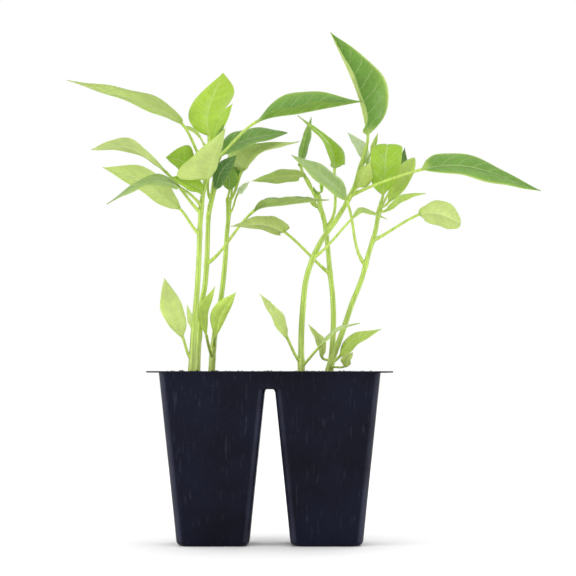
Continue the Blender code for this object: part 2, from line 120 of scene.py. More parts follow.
BENDS_A = (
    (1, 0, 20), (3, 1, 45), (4, 2, 65), (4.5, 3, 82), (5.5, 5, 96), (7.5, 7, 109), (9, 9, 125),
)
LEAVES_A = (
    Leaf("long", 115, (-14, -7, 24), (-36, -13, 35.5), (-76.5, -24, 46),
         (0, -12, 4), (0, 12, -3), (0.22, 0.22), "pale", "mature", "light"),
    Leaf("upper", 89, (-19, -8, 22), (-39, -16, 35), (-59, -30, 32.5),
         (0, -9, 4), (0, 9, -2), (0.48, 0.48), "pale", "mature", "pale"),
    Leaf("wide", 77, (-11, -1, 14), (-32, -2, 30), (-54, -5, 37),
         (2, -7, 7), (-2, 8, -6), (0.4, 0.4), "pale", "fresh", "light"),
    Leaf("droop", 93, (-13, -13, 10), (-28, -21, 12), (-51, -26, -1),
         (0, -10, -4), (0, 8, 4), (0.3, 0.3), "mature", "grey", "soft"),
    Leaf("folded", 104, (2, -7.5, 3.5), (6.5, -14.5, 17), (12.5, -19.5, 31),
         (-18, -6, -0.5), (2, 8, -2), (0.1, 0.4), "pale", "light", "light"),
    Leaf("crown", None, (0, 1, 8), (0, -1, 23), (8, 3, 44),
         (-11, -3, -1), (11, 3, -1), (0.36, 0.62), "young", "crown", "bright"),
    Leaf("arrow", 116, (27.5, 4, 25), (53.5, -4, 29.5), (87.5, -16, 34.5),
         (0, 6, 12.5), (0, -11, 3), (0.4, 0.4), "mature", "mature", "fresh"),
    Leaf("sliver", 119, (-2, 1, 9), (-7, 0, 16), (-14, -2, 19),
         (-1, -4, 2), (1, 4, -2), (0.4, 0.4), "young", "pale", "pale"),
    Leaf("round", 101, (-3.5, -2, 6.5), (-10.5, -2, 16), (-21, -4, 19),
         (-3, -3, -4.5), (3, 4, 9.5), (0.42, 0.55), "young", "lime", "grey"),
    Leaf("tucked", 96.5, (0.5, -6, 3.5), (-6, -10, 7.5), (-16, -16, 11.5),
         (-2, -5, -3), (2, 6, 6), (0.4, 0.4), "mature", "lime", "fresh"),
    Leaf("low", 7, (-5, -3, 12), (-11, -7, 28), (-15, -10, 45),
         (-6, -3, -1), (6, 3, 1), (0.45, 0.45), "pale", "light", "pale"),
)
BENDS_B = (
    (1, 2, 18), (2.5, 3, 38), (4.5, 3, 50), (5.5, 3, 66), (6, 3, 82), (6.5, 4, 91), (8.5, 6, 100),
)
LEAVES_B = (
    Leaf("dark", 94, (6, 5, 29), (21, 12, 39), (44, 22, 44),
         (-2, 8, 7), (1, -8, -5), (0.3, 0.3), "mature", "mature", "grey"),
    Leaf("right", 61, (27, -4, 30), (44, -9, 33), (69, -18, 35),
         (0, 9, 5), (-1, -10, 3), (0.3, 0.3), "pale", "mature", "soft"),
    Leaf("back", None, (-0.5, 5, 30), (2.5, 8, 41.5), (11, 13, 54),
         (-4, 3, 2), (4, -2, -2), (0.4, 0.4), "mature", "crown", "bright"),
    Leaf("bud", 97, (2, 2, 30), (4, 0, 36), (7, 2, 44),
         (-2, 2, 0), (2, 2, 0), (0.4, 0.4), "young", "fresh", "fresh"),
    Leaf("hanging", 88, (4, -4.5, 14.5), (7.5, -5.5, 25), (16, -4.5, 34.5),
         (-4, 3, 3), (4, -1, -3), (0.45, 0.45), "mature", "deep", "deep"),
    Leaf("low", 21, (-3, 2, 2), (-5, 2, 9), (-7, 3, 17),
         (-2, 1, 0), (2, -1, 0), (0.4, 0.4), "mature", "pale", "pale"),
)
BENDS_C = (
    (1, 0, 15.5), (3, 0, 29.5), (5.5, 0, 44), (7.5, 0, 62.5), (8.5, -1, 78), (9.5, -2, 90), (9, -2, 98.5),
)
LEAVES_C = (
    Leaf("under", 97, (8, 4, 18), (15, 6, 29.5), (41, 15, 36),
         (3, -8, -2), (-11, 8, 5), (0.35, 0.12), "pale", "light", "pale"),
    Leaf("round", 92, (2, 8, 15), (3, 10, 24), (5, 14, 32),
         (-4, 3, -1), (4, -2, -1), (0.45, 0.45), "mature", "mature", "grey"),
    Leaf("small", 90, (5, -2, 11), (8, -4, 14), (12, -6, 18),
         (-1, 4, 2), (1, -4, -2), (0.4, 0.4), "mature", "silver", "silver"),
    Leaf("crown", None, (1, 0, 5), (1, -3, 13.5), (-1, -4, 20.5),
         (-5, 2, 0), (5, 1, 0), (0.42, 0.42), "mature", "fresh", "fresh"),
    Leaf("low_left", 8, (-3, -11, 12), (-5, -17, 26), (2, -19, 40),
         (-3, -3, 0), (3, 3, -1), (0.5, 0.5), "young", "tender", "tender"),
    Leaf("low_right", 14, (1, -6, 5), (4, -8, 18), (13, -9, 31),
         (-5, -2, 2.5), (3, 2, -2), (0.5, 0.5), "young", "tender", "tender"),
)
BENDS_D = (
    (0, 0, 20.5), (1, 0, 37.5), (2.5, 1, 51), (6, 2, 62.5), (11.5, 4, 74), (19, 6, 84.5), (25, 8, 94.5),
    (30, 10, 104.5), (33.5, 10.5, 116), (36.5, 11, 126),
)
LEAVES_D = (
    Leaf("top", None, (1, 0, 8), (-5, -3, 32), (-20, -1, 66),
         (0.5, -12, 0), (16.5, 6, 5.5), (0.33, 0.38), "mature", "mature", "light"),
    Leaf("long", 99, (40, -11, 14), (66, -20, 14.5), (103.5, -36, 0),
         (0, 8, 8), (-1, -10, -7), (0.22, 0.45), "mature", "mature", "light"),
    Leaf("side", 64, (22, -3, 22), (27, -5, 26), (41, -8, 21),
         (-1, 5, 2), (1, -4, -2), (0.4, 0.4), "pale", "soft", "light"),
    Leaf("axil", 97, (5, -3.5, 6.5), (8, -5.5, 13), (12.5, -6.5, 20.5),
         (-3, 2, 2), (5, 3, -3), (0.45, 0.45), "mature", "bright", "soft"),
    Leaf("back", 112, (5, 5, 6), (2, 7, 14), (-6, 8, 24),
         (-2, -4, -3), (3, 5, 3), (0.4, 0.4), "mature", "silver", "silver"),
    Leaf("bud", 116, (6, 4.5, 7.5), (8, 5.5, 13.5), (10, 6.5, 19.5),
         (-1.5, 2, 0), (1.5, 1, 0), (0.4, 0.4), "young", "bright", "bright"),
    Leaf("low_left", 5, (-8, -6, 14), (-14, -10, 26), (-23, -13, 38),
         (-2, -7, -3), (3, 7, 2), (0.4, 0.4), "young", "light", "light"),
    Leaf("low_edge", 3, (10, -8, 11), (20, -12, 20), (32, -16, 24),
         (0, 9, 1), (0, -9, -1), (0.4, 0.4), "mature", "soft", "light"),
)
BENDS_E = (
    (1.5, 0, 15.5), (2, 0, 29.5), (1.5, 0, 43.5), (0, 0, 57), (-1.5, 0, 73.5), (-3, -1, 85),
    (-5.5, -2, 94.5), (-7, -3, 101.5),
)
LEAVES_E = (
    Leaf("left", 56, (-26, -14, 23), (-40, -22, 27), (-56, -33, 25),
         (0, -8, 5), (1, 8, -4), (0.2, 0.2), "pale", "mature", "light"),
    Leaf("upper", 98, (-8, -4, 13), (-22, -11, 13), (-38, -22, 9),
         (0, -8, 2.5), (0, 8, -4), (0.35, 0.35), "mature", "light", "light"),
    Leaf("arch", 82, (5, -5, 34), (2, -6, 48), (-16, -7, 64),
         (-3, -8, -2), (7, 8, -2), (0.25, 0.25), "young", "lime", "grey"),
    Leaf("strip", 99, (-10, 5, 18), (-8.5, 7, 31), (-4, 12, 48),
         (-2, 7, 0), (3, 7, 0), (0.45, 0.45), "mature", "fresh", "soft"),
    Leaf("bud", 100, (0, -4, 1), (-2, -7, 3), (-3, -8, 5),
         (-1, 1, 0), (1, 1, 0), (0.4, 0.4), "young", "fresh", "fresh"),
    Leaf("crown", None, (2, -4, 1), (2, -6, 5), (1, -7, 10),
         (-1, 2, 0), (1, 2, 0), (0.4, 0.4), "young", "lime", "lime"),
    Leaf("young", 89, (-3, 1, 5), (-6, 0, 8), (-10, -1, 11),
         (0, -3, 2), (0, 3, -2), (0.4, 0.4), "young", "bright", "bright"),
    Leaf("low", 6, (-5, -3, 2), (-6, -6, 10), (-13, -8, 21),
         (-2, -3, -1), (3, 3, 1), (0.4, 0.4), "mature", "light", "pale"),
)
BENDS_F = (
    (3.5, 0, 10), (8.5, 0, 23.5), (13.5, 0, 38.5), (19, 0, 52.5), (23, 0, 67), (26.5, 0, 78.5),
    (28.5, 1, 89), (30, 2, 95.5),
)
LEAVES_F = (
    Leaf("left", 60, (-11, -10, 36), (-25, -17, 50), (-42, -26, 60),
         (-3, -9, -5), (4, 9, 4), (0.4, 0.4), "mature", "grey", "soft"),
    Leaf("block", None, (1, -3, 4.5), (3, -8, 31), (6, 12, 31.5),
         (-9, -2, -1.5), (9, 1, -1.5), (0.42, 0.5), "young", "lime", "lime"),
    Leaf("back", 92, (5.5, 9.5, 4.5), (13.5, 13.5, 17.5), (21, 18.5, 31),
         (-5, 3, 3), (3.5, -3, -2.5), (0.55, 0.55), "pale", "bright", "bright"),
    Leaf("dark", 90, (9, 25, 17), (14, 29, 27), (16.5, 32, 40),
         (-3, 3, 1), (3.5, -3, -1), (0.42, 0.42), "mature", "deep", "deep"),
    Leaf("bright", 90, (4, -2, 1), (14, -5, 8), (26, -12, 10),
         (-1, 6, 2), (1, -6, -2), (0.35, 0.35), "young", "bright", "bright"),
    Leaf("spoon", 74, (26, -4, 14.5), (37, -9, 14.5), (48.5, -16, 9),
         (1, 6, -7), (1, -6, 7), (0.5, 0.5), "pale", "light", "pale"),
    Leaf("low_right", 5, (5, -1, 4), (13, -4, 13), (28, -7, 19),
         (-2, 5, 3), (2, -5, -3), (0.35, 0.35), "pale", "bright", "light"),
    Leaf("low_wavy", 2, (8, -9, 1), (10, -13, 6), (13, -15, 9),
         (-3, 3, 1), (2, -3, -2), (0.45, 0.45), "young", "light", "pale"),
)

SEEDLINGS = {
    "a": Seedling(LEFT_CELL, (-12.0, -13.9), BENDS_A, LEAVES_A),
    "b": Seedling(LEFT_CELL, (-9.6, 0.0), BENDS_B, LEAVES_B),
    "c": Seedling(LEFT_CELL, (-1.7, 13.9), BENDS_C, LEAVES_C),
    "d": Seedling(RIGHT_CELL, (-14.0, -12.1), BENDS_D, LEAVES_D),
    "e": Seedling(RIGHT_CELL, (2.5, 15.9), BENDS_E, LEAVES_E),
    "f": Seedling(RIGHT_CELL, (1.1, 0.0), BENDS_F, LEAVES_F),
}


def from_srgb(red, green, blue):
    """Linear colour of an 8-bit screen colour."""
    return tuple((value / 255)**2.2 for value in (red, green, blue))


# Leaf and stem colours
PALETTE = {
    "deep": from_srgb(76, 122, 50),
    "mature": from_srgb(110, 156, 58),
    "fresh": from_srgb(134, 176, 62),
    "lime": from_srgb(164, 204, 52),
    "bright": from_srgb(192, 217, 102),
    "grey": from_srgb(158, 186, 112),
    "soft": from_srgb(180, 203, 112),
    "light": from_srgb(204, 222, 128),
    "pale": from_srgb(220, 235, 150),
    "crown": from_srgb(180, 213, 68),
    "tender": from_srgb(214, 238, 114),
    "silver": from_srgb(222, 236, 196),
    "stem": from_srgb(178, 204, 92),
    "stem_foot": from_srgb(188, 208, 112),
    # Painted shade for the grooves between a stem's ribs
    "stem_groove_shade": from_srgb(128, 160, 62),
}

# Soil colours
PEAT = from_srgb(76, 62, 52)
PERLITE = from_srgb(214, 210, 200)
BARKS = (from_srgb(92, 72, 56), from_srgb(66, 52, 44), from_srgb(120, 96, 70))


# Node helpers

def add_node(material, kind, **settings):
    node = material.node_tree.nodes.new(kind)
    for name, value in settings.items():
        setattr(node, name, value)
    return node


def math_node(material, operation, first, second=None, third=None):
    """A Math node's output. Each input is a socket or a number."""
    node = add_node(material, 'ShaderNodeMath', operation=operation)
    for socket, value in zip(node.inputs, (first, second, third)):
        if isinstance(value, bpy.types.NodeSocket):
            material.node_tree.links.new(value, socket)
        elif value is not None:
            socket.default_value = value
    return node.outputs[0]


def noise_node(material, vector, scale, detail=4.0, roughness=0.55):
    node = add_node(material, 'ShaderNodeTexNoise')
    node.inputs["Scale"].default_value = scale
    node.inputs["Detail"].default_value = detail
    node.inputs["Roughness"].default_value = roughness
    material.node_tree.links.new(vector, node.inputs["Vector"])
    return node.outputs["Fac"]


def map_range(material, value, from_low, from_high, to_low, to_high):
    node = add_node(material, 'ShaderNodeMapRange', interpolation_type='SMOOTHSTEP')
    limits = {"From Min": from_low, "From Max": from_high, "To Min": to_low, "To Max": to_high}
    for name, number in limits.items():
        node.inputs[name].default_value = number
    material.node_tree.links.new(value, node.inputs["Value"])
    return node.outputs["Result"]


def mix_colour(material, share, first, second, blend='MIX'):
    """A Mix node's colour. Each colour is a socket or linear RGB, and share is a socket or a number."""
    node = add_node(material, 'ShaderNodeMix', data_type='RGBA', blend_type=blend)
    for socket, value in ((node.inputs[0], share), (node.inputs[6], first), (node.inputs[7], second)):
        if isinstance(value, bpy.types.NodeSocket):
            material.node_tree.links.new(value, socket)
        elif isinstance(value, tuple):
            socket.default_value = (*value, 1.0)
        else:
            socket.default_value = value
    return node.outputs[2]


def bump_node(material, height, strength, distance, normal=None):
    node = add_node(material, 'ShaderNodeBump')
    node.inputs["Strength"].default_value = strength
    node.inputs["Distance"].default_value = distance
    material.node_tree.links.new(height, node.inputs["Height"])
    if normal:
        material.node_tree.links.new(normal, node.inputs["Normal"])
    return node.outputs["Normal"]


def new_material(name):
    material = bpy.data.materials.new(name)
    material.use_nodes = True
    return material, material.node_tree.nodes["Principled BSDF"]


# Materials

def leaf_material(name, roughness, vein_lift, vein_light, see_through):
    """Leaf skin: its colour is painted on the mesh, with veins along the blade's own coordinates."""
    material, shader = new_material(name)
    links = material.node_tree.links
    tone = add_node(material, 'ShaderNodeAttribute', attribute_name="tone")
    coordinates = add_node(material, 'ShaderNodeTexCoord')
    spot = coordinates.outputs["Object"]
    along_across = add_node(material, 'ShaderNodeSeparateXYZ')
    links.new(coordinates.outputs["UV"], along_across.inputs[0])
    along = along_across.outputs[0]
    from_midrib = math_node(material, 'MULTIPLY_ADD', along_across.outputs[1], 2.0, -1.0)
    across = math_node(material, 'ABSOLUTE', from_midrib)
    wander = math_node(material, 'MULTIPLY', noise_node(material, spot, 90.0, 2.0), 0.5)
    sweep = math_node(material, 'MULTIPLY', across, VEIN_SWEEP)
    phase = math_node(material, 'SUBTRACT', math_node(material, 'MULTIPLY', along, SIDE_VEINS), sweep)
    phase = math_node(material, 'ADD', phase, wander)
    off_vein = math_node(material, 'SUBTRACT', math_node(material, 'FRACT', phase), 0.5)
    side_vein = map_range(material, math_node(material, 'ABSOLUTE', off_vein), 0.0, 0.09, 1.0, 0.0)
    side_vein = math_node(material, 'MULTIPLY', side_vein, map_range(material, across, 0.55, 0.95, 1.0, 0.0))
    midrib = map_range(material, across, 0.02, 0.075, 1.0, 0.0)
    veins = math_node(material, 'MAXIMUM', midrib, math_node(material, 'MULTIPLY', side_vein, 0.6))
    net = add_node(material, 'ShaderNodeTexVoronoi', feature='DISTANCE_TO_EDGE')
    net.inputs["Scale"].default_value = 420.0
    links.new(spot, net.inputs["Vector"])
    small_veins = map_range(material, net.outputs["Distance"], 0.0, 0.12, 1.0, 0.0)
    patches = map_range(material, noise_node(material, spot, 60.0, 5.0), 0.3, 0.7, 0.90, 1.08)
    colour = mix_colour(material, 1.0, tone.outputs["Color"], patches, 'MULTIPLY')
    beside_veins = add_node(material, 'ShaderNodeCombineXYZ')
    links.new(phase, beside_veins.inputs[0])
    links.new(math_node(material, 'MULTIPLY', across, 0.3), beside_veins.inputs[1])
    fibres = noise_node(material, beside_veins.outputs[0], 4.0, 4.0)
    colour = mix_colour(material, 1.0, colour, map_range(material, fibres, 0.3, 0.7, 0.92, 1.06), 'MULTIPLY')
    vein_colour = mix_colour(material, 0.65, tone.outputs["Color"], from_srgb(234, 243, 182))
    colour = mix_colour(material, math_node(material, 'MULTIPLY', veins, vein_light), colour, vein_colour)
    net_share = math_node(material, 'MULTIPLY', small_veins, 0.10)
    colour = mix_colour(material, net_share, colour, vein_colour)
    links.new(colour, shader.inputs["Base Color"])
    wax = noise_node(material, spot, 160.0, 4.0)
    gloss = map_range(material, wax, 0.3, 0.7, roughness - 0.06, roughness + 0.10)
    links.new(gloss, shader.inputs["Roughness"])
    net_relief = math_node(material, 'MULTIPLY', small_veins, -0.06)
    relief = math_node(material, 'MULTIPLY_ADD', veins, vein_lift, net_relief)
    normal = bump_node(material, relief, 0.40, 0.3 * MM)
    normal = bump_node(material, noise_node(material, spot, 500.0, 3.0), 0.02, 0.2 * MM, normal)
    links.new(normal, shader.inputs["Normal"])
    glow = add_node(material, 'ShaderNodeBsdfTranslucent')
    links.new(mix_colour(material, 0.35, colour, PALETTE["lime"]), glow.inputs["Color"])
    links.new(normal, glow.inputs["Normal"])
    blend = add_node(material, 'ShaderNodeMixShader')
    blend.inputs[0].default_value = see_through
    links.new(shader.outputs[0], blend.inputs[1])
    links.new(glow.outputs[0], blend.inputs[2])
    links.new(blend.outputs[0], material.node_tree.nodes["Material Output"].inputs["Surface"])
    return material


def stem_material():
    """Juicy young stem: pale green with darker lengthwise streaks and brighter blotches."""
    material, shader = new_material("stem_skin")
    links = material.node_tree.links
    tone = add_node(material, 'ShaderNodeAttribute', attribute_name="tone")
    spot = add_node(material, 'ShaderNodeTexCoord').outputs["Object"]
    stretch = add_node(material, 'ShaderNodeMapping')
    stretch.inputs["Scale"].default_value = (1.0, 1.0, 0.06)
    links.new(spot, stretch.inputs["Vector"])
    drawn_out = noise_node(material, stretch.outputs[0], 900.0, 3.0)
    streaks = map_range(material, drawn_out, 0.35, 0.65, 0.82, 1.10)
    colour = mix_colour(material, 1.0, tone.outputs["Color"], streaks, 'MULTIPLY')
    blotches = map_range(material, noise_node(material, spot, 70.0, 4.0), 0.45, 0.75, 0, 0.3)
    colour = mix_colour(material, blotches, colour, PALETTE["bright"])
    links.new(colour, shader.inputs["Base Color"])
    gloss = map_range(material, noise_node(material, spot, 500.0), 0.3, 0.7, 0.36, 0.52)
    links.new(gloss, shader.inputs["Roughness"])
    links.new(bump_node(material, streaks, 0.25, 0.2 * MM), shader.inputs["Normal"])
    shader.inputs["Specular IOR Level"].default_value = 0.45
    return material


def plastic_material():
    """Thin black nursery plastic: faintly blue, with scuffed streaks, a little dust and a painted highlight
    that makes the corners paler.
    """
    material, shader = new_material("nursery_plastic")
    links = material.node_tree.links
    spot = add_node(material, 'ShaderNodeTexCoord').outputs["Object"]
    stretch = add_node(material, 'ShaderNodeMapping')
    stretch.inputs["Scale"].default_value = (1.0, 1.0, 0.10)
    links.new(spot, stretch.inputs["Vector"])
    streaks = noise_node(material, stretch.outputs[0], 700.0, 4.0)
    cloud = noise_node(material, spot, 28.0, 5.0)
    base = mix_colour(material, map_range(material, cloud, 0.3, 0.7, 0.0, 1.0),
                      from_srgb(15, 16, 27), from_srgb(22, 24, 40))
    dust = map_range(material, noise_node(material, spot, 1500.0, 2.0, 0.7), 0.67, 0.78, 0.0, 0.34)
    base = mix_colour(material, dust, base, from_srgb(112, 108, 112))
    scuffs = map_range(material, streaks, 0.58, 0.72, 0.0, 0.22)
    base = mix_colour(material, scuffs, base, from_srgb(66, 67, 80))
    # Painted highlight: the rounded corners, where the normal faces diagonally, are painted paler like a
    # reflection
    facing = add_node(material, 'ShaderNodeSeparateXYZ')
    links.new(add_node(material, 'ShaderNodeNewGeometry').outputs["Normal"], facing.inputs[0])
    diagonal = math_node(material, 'MULTIPLY', facing.outputs[0], facing.outputs[1])
    corner = map_range(material, math_node(material, 'ABSOLUTE', diagonal), 0.30, 0.50, 0.0, 1.0)
    painted_corner_highlight = math_node(material, 'MULTIPLY', corner, map_range(material, cloud, 0.3, 0.7, 0.15, 0.4))
    base = mix_colour(material, painted_corner_highlight, base, from_srgb(80, 82, 100))
    links.new(base, shader.inputs["Base Color"])
    links.new(map_range(material, streaks, 0.3, 0.7, 0.30, 0.44), shader.inputs["Roughness"])
    shader.inputs["Specular IOR Level"].default_value = 0.10
    normal = bump_node(material, streaks, 0.12, 0.15 * MM)
    normal = bump_node(material, noise_node(material, spot, 1100.0, 3.0), 0.10, 0.1 * MM, normal)
    normal = bump_node(material, cloud, 0.35, 1.2 * MM, normal)
    links.new(normal, shader.inputs["Normal"])
    return material


def soil_material():
    """Peat-brown potting soil with paler fibre, and painted shade that makes it darker in its hollows and
    lighter on its lumps.
    """
    material, shader = new_material("potting_soil")
    links = material.node_tree.links
    spot = add_node(material, 'ShaderNodeTexCoord').outputs["Object"]
    coarse = noise_node(material, spot, 260.0, 6.0, 0.7)
    fine = noise_node(material, spot, 1300.0, 4.0, 0.7)
    tone = add_node(material, 'ShaderNodeAttribute', attribute_name="tone")
    # Painted shade and light: the noise that forms the bump's hollows and lumps also darkens and lightens the
    # colour
    painted_hollow_shade = map_range(material, coarse, 0.3, 0.7, 0.45, 1.35)
    colour = mix_colour(material, 1.0, tone.outputs["Color"], painted_hollow_shade, 'MULTIPLY')
    fibre = map_range(material, fine, 0.66, 0.78, 0.0, 0.5)
    colour = mix_colour(material, fibre, colour, from_srgb(148, 118, 88))
    links.new(colour, shader.inputs["Base Color"])
    links.new(map_range(material, fine, 0.3, 0.7, 0.85, 1.0), shader.inputs["Roughness"])
    normal = bump_node(material, coarse, 0.8, 0.8 * MM)
    links.new(bump_node(material, fine, 0.6, 0.4 * MM, normal), shader.inputs["Normal"])
    shader.inputs["Specular IOR Level"].default_value = 0.2
    return material


# Shapes

def new_piece(name, mesh, materials):
    for material in materials:
        mesh.materials.append(material)
    obj = bpy.data.objects.new(name, mesh)
    bpy.context.scene.collection.objects.link(obj)
    return obj


def paint(mesh, colours):
    """Paints one linear colour on each vertex."""
    layer = mesh.color_attributes.new("tone", 'FLOAT_COLOR', 'POINT')
    for item, colour in zip(layer.data, colours):
        item.color = (*colour, 1.0)


def stitch(bm, rings):
    """Walls between rings of points, with both ends closed. Returns the rows of wall faces."""
    rows = [[bm.verts.new(point) for point in ring] for ring in rings]
    walls = []
    for low, high in zip(rows, rows[1:]):
        wall = []
        for i in range(len(low)):
            j = (i + 1) % len(low)
            wall.append(bm.faces.new((low[i], low[j], high[j], high[i])))
        walls.append(wall)
    bm.faces.new(list(reversed(rows[0])))
    bm.faces.new(rows[-1])
    return walls


def finish_faces(bm):
    bmesh.ops.recalc_face_normals(bm, faces=bm.faces)
    if bm.calc_volume(signed=True) < 0:
        bmesh.ops.reverse_faces(bm, faces=bm.faces)
    for face in bm.faces:
        face.smooth = True


def loft(name, rings):
    bm = bmesh.new()
    stitch(bm, rings)
    finish_faces(bm)
    mesh = bpy.data.meshes.new(name)
    bm.to_mesh(mesh)
    bm.free()
    return new_piece(name, mesh, ())


def combine(obj, operation, tool):
    modifier = obj.modifiers.new(tool.name, 'BOOLEAN')
    modifier.operation = operation
    modifier.object = tool
    return tool


def apply_modifiers(obj):
    depsgraph = bpy.context.evaluated_depsgraph_get()
    mesh = bpy.data.meshes.new_from_object(obj.evaluated_get(depsgraph))
    obj.modifiers.clear()
    obj.data = mesh


# The pack

def rounded_rectangle(half_x, half_y, radius, centre_x, z):
    """Ring of points round a rectangle with round corners, in the pack's own place."""
    points = []
    for corner, (side_x, side_y) in enumerate(((1, 1), (-1, 1), (-1, -1), (1, -1))):
        for step in range(CORNER_STEPS + 1):
            angle = math.radians(90 * (corner + step / CORNER_STEPS))
            x = side_x * (half_x - radius) + radius * math.cos(angle)
            y = side_y * (half_y - radius) + radius * math.sin(angle)
            points.append(Vector((PACK_MIDDLE.x + centre_x + x, PACK_MIDDLE.y + y, PACK_LOW.z + z)))
    return points


def cell_half(z):
    return (CELL_FOOT + (CELL_MOUTH - CELL_FOOT) * z / PACK_HEIGHT) / 2


def cell_solid(name, side, inset, top):
    centre_x = side * CELL_PITCH / 2
    foot_radius = FOOT_RADIUS - inset
    corner = CORNER_RADIUS - inset
    rings = []
    for step in range(CORNER_STEPS + 1):
        angle = math.radians(90 * step / CORNER_STEPS)
        z = inset + foot_radius * (1 - math.cos(angle))
        half = cell_half(z) - inset - foot_radius * (1 - math.sin(angle))
        rings.append(rounded_rectangle(half, half, corner, centre_x, z))
    half = cell_half(top) - inset
    rings.append(rounded_rectangle(half, half, corner, centre_x, top))
    return loft(name, rings)


def shoulder_solid(name, inset, bottom, top):
    rings = []
    for z in (bottom, top):
        half = cell_half(z) + SHOULDER_STEP - inset
        rings.append(rounded_rectangle(CELL_PITCH / 2 + half, half, CORNER_RADIUS - inset, 0, z))
    return loft(name, rings)


def rim_solid():
    half_x = (CELL_PITCH + CELL_MOUTH) / 2 + RIM_WIDTH
    half_y = CELL_MOUTH / 2 + RIM_WIDTH
    levels = (PACK_HEIGHT - WALL, PACK_HEIGHT)
    return loft("rim_shape", [rounded_rectangle(half_x, half_y, CORNER_RADIUS, 0, z) for z in levels])


def drain_solid(side):
    rings = []
    for z in (-2 * WALL, 4 * WALL):
        ring = []
        for i in range(32):
            angle = math.tau * i / 32
            x = PACK_MIDDLE.x + side * CELL_PITCH / 2 + DRAIN_RADIUS * math.cos(angle)
            ring.append(Vector((x, PACK_MIDDLE.y + DRAIN_RADIUS * math.sin(angle), PACK_LOW.z + z)))
        rings.append(ring)
    return loft("drain_shape", rings)


def fillet_solid(side):
    """Rounds the top corner of the slot on one side of it."""
    level = WEB_UNDERSIDE
    half_gap = CELL_PITCH / 2 - cell_half(level)
    outline = [(half_gap + WALL / 2, level + WALL / 2), (half_gap + WALL / 2, level - SLOT_FILLET * 1.5)]
    for step in range(7):
        angle = math.radians(90 * step / 6)
        x = half_gap - SLOT_FILLET * (1 - math.cos(angle))
        outline.append((x, level - SLOT_FILLET * (1 - math.sin(angle))))
    outline.append((half_gap - SLOT_FILLET, level + WALL / 2))
    rings = []
    for end in (-1, 1):
        y = PACK_MIDDLE.y + end * (cell_half(level) - CORNER_RADIUS)
        rings.append([Vector((PACK_MIDDLE.x + side * x, y, PACK_LOW.z + z)) for x, z in outline])
    return loft("fillet_shape", rings)


def make_pack():
    """The formed sheet: the outer shapes joined, the hollows and drain holes cut and its edges softened."""
    inside_rim = PACK_HEIGHT - WALL / 2
    above = PACK_HEIGHT + 2 * WALL
    pack = cell_solid("pack", LEFT_CELL, 0, inside_rim)
    tools = [
        combine(pack, 'UNION', cell_solid("right_shape", RIGHT_CELL, 0, inside_rim)),
        combine(pack, 'UNION', shoulder_solid("shoulder_shape", 0, WEB_UNDERSIDE, inside_rim)),
        combine(pack, 'UNION', rim_solid()),
        combine(pack, 'UNION', fillet_solid(LEFT_CELL)),
        combine(pack, 'UNION', fillet_solid(RIGHT_CELL)),
        combine(pack, 'DIFFERENCE', shoulder_solid("hollow", WALL, WEB_UNDERSIDE + WALL, above)),
    ]
    for side in (LEFT_CELL, RIGHT_CELL):
        tools.append(combine(pack, 'DIFFERENCE', cell_solid("cell_hollow", side, WALL, above)))
        tools.append(combine(pack, 'DIFFERENCE', drain_solid(side)))
    bevel = pack.modifiers.new("soft_edges", 'BEVEL')
    bevel.width = EDGE_SOFTNESS
    bevel.segments = 2
    bevel.limit_method = 'ANGLE'
    bevel.angle_limit = math.radians(40)
    apply_modifiers(pack)
    for tool in tools:
        bpy.data.objects.remove(tool, do_unlink=True)
    for vertex in pack.data.vertices:
        out = max(abs(vertex.co.x - PACK_MIDDLE.x) - (CELL_PITCH + CELL_MOUTH) / 2,
                  abs(vertex.co.y - PACK_MIDDLE.y) - CELL_MOUTH / 2)
        if out > 0:
            wave = noise.noise(Vector((vertex.co.x, vertex.co.y, 0)) * RIM_WAVE_SCALE)
            vertex.co.z += RIM_WAVE * wave * min(1.0, out / RIM_WIDTH)
    pack.data.materials.append(plastic_material())
    pack.data.shade_smooth()
    pack.data.set_sharp_from_angle(angle=math.radians(35))
    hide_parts("cell_pack")
    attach(pack, "root")


# The soil

def add_crumb(bm, centre, size, seed):
    """One rough, flattened crumb. Returns its vertices."""
    shape = bmesh.ops.create_icosphere(bm, subdivisions=2, radius=size)
    spin = Matrix.Rotation(seed * 1.7, 3, Vector((0.3, 0.5, 0.8)).normalized())
    for vertex in shape["verts"]:
        rough = 1 + 0.35 * noise.noise(vertex.co / size * 1.4 + Vector((seed, 0, 0)))
        squashed = Vector((vertex.co.x * 1.25, vertex.co.y * 0.9, vertex.co.z * 0.65)) * rough
        vertex.co = spin @ squashed + centre
    return shape["verts"]


